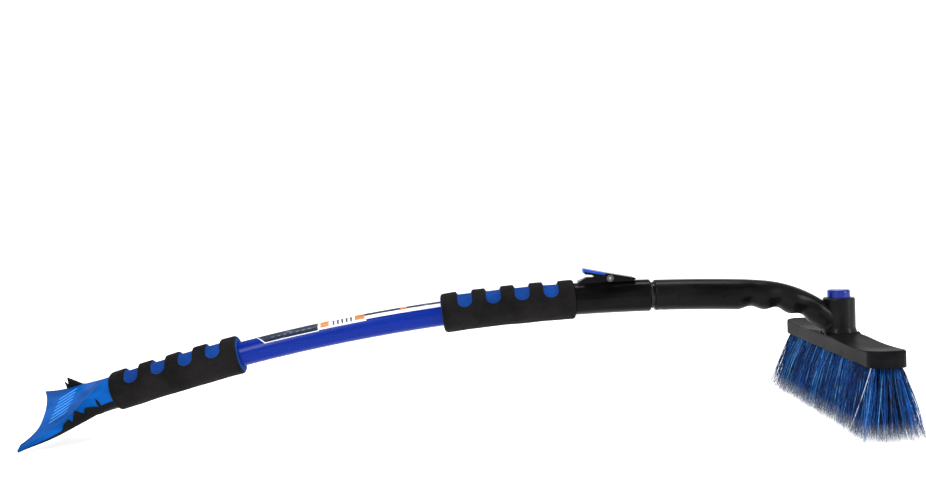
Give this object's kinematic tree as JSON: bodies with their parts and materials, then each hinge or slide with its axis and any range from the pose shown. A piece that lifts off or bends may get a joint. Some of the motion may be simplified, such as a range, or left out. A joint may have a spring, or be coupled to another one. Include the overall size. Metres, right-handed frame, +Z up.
{
  "type": "snow brush scraper",
  "caption": "Long curved tool with a swivelling brush head at one end, an ice scraper blade at the other, two foam grips and a telescopic handle with a lever lock.",
  "frame": {"origin": "on the floor, under the middle of the tool's overall box, with the tool standing on its bristle tips and one corner of the blade", "axes": "+X runs along the handle from the scraper to the brush, +Y across it, +Z up"},
  "size_m": [0.8932, 0.316, 0.1604],
  "materials": {
    "black_plastic": "black moulded plastic, satin, with parting lines",
    "azure_plastic": "azure blue moulded plastic, satin gloss",
    "blue_paint": "deep blue paint on the aluminium tube, glossy, with a printed stripe label",
    "foam_black": "charcoal foam rubber, matt, fine cells",
    "foam_blue": "royal blue foam rubber, matt, fine cells",
    "gloss_black": "black moulded plastic, glossy",
    "steel": "zinc plated steel",
    "bright_ring": "bright metal ring",
    "bare_tube": "satin anodised aluminium",
    "nylon": "natural nylon",
    "rubber": "black rubber",
    "button_blue": "deep blue moulded plastic, glossy",
    "pad_blue": "blue moulded plastic, satin",
    "bristle": "blue, navy and black plastic filaments with split, pale tips"
  },
  "bodies": {
    "handle": {"scraper_base": "black_plastic", "scraper_overlay": "azure_plastic", "tang_pin": "steel", "outer_tube": "blue_paint", "rear_grip_core": "foam_blue", "rear_grip_skin": "foam_black", "front_grip_core": "foam_blue", "front_grip_skin": "foam_black", "connector": "gloss_black", "connector_screws": "steel", "guide_bush": "nylon", "wiper_ring": "rubber", "lever_rivet": "steel", "lever_spring": "steel"},
    "extension": {"inner_tube": "bare_tube", "end_bush": "nylon", "stop_ring": "bright_ring", "arm": "black_plastic", "arm_pins": "steel", "spline_ring": "nylon", "button_spring": "steel"},
    "lock_lever": {"lever_channel": "gloss_black", "thumb_pad": "pad_blue"},
    "lock_pin": {"lock_pin": "steel"},
    "button": {"swivel_button": "button_blue", "lock_gear": "nylon"},
    "head": {"hub": "black_plastic", "retaining_clip": "steel", "hub_screws": "steel", "brush_block": "black_plastic", "tuft_board": "black_plastic", "bristles": "bristle"}
  },
  "joints": [
    {"name": "extension_slide", "type": "hinge", "parent": "handle", "child": "extension", "pos_m": [0.20349, 0, -1.83059], "axis": [0, 1, 0], "range_deg": [0, 10.23]},
    {"name": "lever_press", "type": "hinge", "parent": "handle", "child": "lock_lever", "pos_m": [0.18106, 0, 0.14968], "axis": [0, -1, 0], "range_deg": [0, 6], "stiffness_Nm_per_rad": 1, "springref_deg": -11.46},
    {"name": "pin_lift", "type": "slide", "parent": "handle", "child": "lock_pin", "axis": [-0.0016, 0, 1], "range_m": [0, 0.00209]},
    {"name": "button_press", "type": "slide", "parent": "extension", "child": "button", "axis": [0, 0, -1], "range_m": [0, 0.005], "stiffness_N_per_m": 400, "springref_m": -0.004, "deforming": ["button_spring"]},
    {"name": "head_swivel", "type": "hinge", "parent": "extension", "child": "head", "pos_m": [0.4207, 0, 0.09], "axis": [0, 0, 1], "range_deg": [-90, 90]}
  ],
  "couplings": [
    {"joint": "pin_lift", "follows": "lever_press", "m_per_rad": 0.019}
  ]
}
